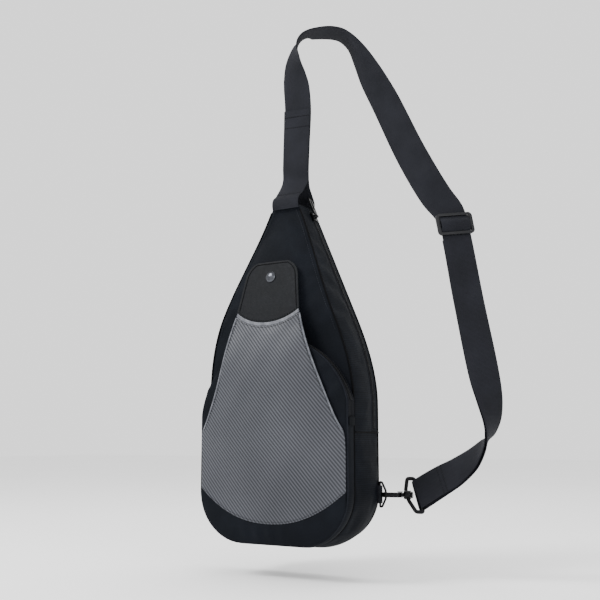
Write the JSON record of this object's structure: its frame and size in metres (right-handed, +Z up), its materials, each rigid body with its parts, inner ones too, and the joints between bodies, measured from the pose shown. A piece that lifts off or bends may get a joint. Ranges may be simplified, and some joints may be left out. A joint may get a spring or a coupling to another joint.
{
  "type": "sling bag",
  "caption": "Teardrop crossbody sling bag with a snap flap over a zipped front pocket, a zipped main compartment and one adjustable webbing strap clipped to a lower corner ring.",
  "frame": {"origin": "underside of the strap at its highest point, where a peg or hand carries the bag", "axes": "+Z up, +Y towards the wearer's back panel, so the pocket and flap face -Y; +X to the bag's right as seen from the front"},
  "size_m": [0.3308, 0.1074, 0.5882],
  "materials": {
    "nylon": "dark navy-black woven nylon",
    "lining": "dark plain lining",
    "foam": "padding inside the back",
    "coated": "grey coated fabric with fine diagonal ribs",
    "edge": "lighter folded edge of the coated fabric",
    "tab": "navy synthetic leather",
    "webbing": "charcoal woven webbing",
    "tape": "zip tape",
    "coil": "nylon coil",
    "black_metal": "black enamelled metal",
    "gunmetal": "polished gunmetal",
    "plastic": "black moulded plastic"
  },
  "bodies": {
    "bag": {"front_panel": "nylon", "back_panel": "nylon", "back_foam": "foam", "back_lining": "lining", "inner_sleeve": "lining", "gusset_lower": "nylon", "gusset_left": "nylon", "gusset_right_front": "nylon", "gusset_right_rear": "nylon", "apex_panel": "nylon", "main_zip_tape_front": "tape", "main_zip_tape_rear": "tape", "main_zip_coil": "coil", "pocket_panel": "nylon", "pocket_gusset": "nylon", "pocket_gusset_left": "nylon", "pocket_zip_tape_front": "tape", "pocket_zip_tape_rear": "tape", "pocket_zip_coil": "coil", "pocket_zip_end_right": "nylon", "pocket_zip_end_left": "nylon", "coated_panel": "coated", "base_band": "nylon", "snap_stud": "gunmetal", "snap_post": "gunmetal", "ring_tab_right": "webbing", "ring_tab_left": "webbing", "strap_rear_leg": "webbing", "strap_left_run": "webbing", "strap_crest": "webbing", "strap_right_run": "webbing", "strap_adjust_run": "webbing", "strap_hook_run": "webbing", "strap_tail": "webbing", "strap_tail_hook_run": "webbing", "strap_eye_wrap": "webbing", "strap_front_leg": "webbing", "hook_eye": "black_metal"},
    "flap": {"flap_panel": "coated", "flap_edge_right": "edge", "flap_edge_left": "edge", "tab_strip": "edge", "flap_tab": "tab", "flap_lining": "lining", "snap_cap": "gunmetal", "snap_socket": "gunmetal"},
    "main_slider": {"main_zip_slider": "black_metal"},
    "main_pull": {"main_zip_pull": "black_metal"},
    "pocket_slider": {"pocket_zip_slider": "black_metal"},
    "pocket_pull": {"pocket_zip_pull": "black_metal"},
    "right_ring": {"ring_right": "black_metal"},
    "left_ring": {"ring_left": "black_metal"},
    "hook": {"hook_bow": "black_metal"},
    "gate": {"hook_gate": "black_metal"},
    "adjuster": {"strap_slider": "plastic", "slider_wrap": "webbing"}
  },
  "joints": [
    {"name": "flap_fold", "type": "hinge", "parent": "bag", "child": "flap", "pos_m": [-0.0435, -0.0549, -0.463], "axis": [1, 0, 0], "range_deg": [0, 120]},
    {"name": "main_zip_travel", "type": "slide", "parent": "bag", "child": "main_slider", "axis": [0.3907, 0, -0.9205], "range_m": [0, 0.12]},
    {"name": "main_pull_lift", "type": "hinge", "parent": "main_slider", "child": "main_pull", "pos_m": [-0.02097, 0.015, -0.21489], "axis": [0, 1, 0], "range_deg": [0, 170]},
    {"name": "pocket_zip_travel", "type": "hinge", "parent": "bag", "child": "pocket_slider", "pos_m": [-0.042, -0.0374, -0.459], "axis": [0, 1, 0], "range_deg": [0, 97]},
    {"name": "pocket_pull_lift", "type": "hinge", "parent": "pocket_slider", "child": "pocket_pull", "pos_m": [-0.09397, -0.0374, -0.37251], "axis": [0, 1, 0], "range_deg": [0, 150]},
    {"name": "right_ring_swing", "type": "hinge", "parent": "bag", "child": "right_ring", "pos_m": [0.0517, 0.025, -0.5315], "axis": [0, 0, -1], "range_deg": [-9, 9]},
    {"name": "left_ring_swing", "type": "hinge", "parent": "bag", "child": "left_ring", "pos_m": [-0.1387, 0.025, -0.5315], "axis": [0, 0, 1], "range_deg": [-70, 70]},
    {"name": "hook_swivel", "type": "hinge", "parent": "bag", "child": "hook", "pos_m": [0.0586, 0.025, -0.5315], "axis": [0.9781, 0.2079, 0], "range_deg": [-20, 20]},
    {"name": "hook_gate_press", "type": "hinge", "parent": "hook", "child": "gate", "pos_m": [0.07026, 0.03412, -0.5315], "axis": [0, 0, 1], "range_deg": [0, 13], "stiffness_Nm_per_rad": 0.02, "springref_deg": -8.59},
    {"name": "strap_adjust", "type": "slide", "parent": "bag", "child": "adjuster", "axis": [0.1631, 0.0377, -0.9859], "range_m": [0, 0.12]}
  ]
}
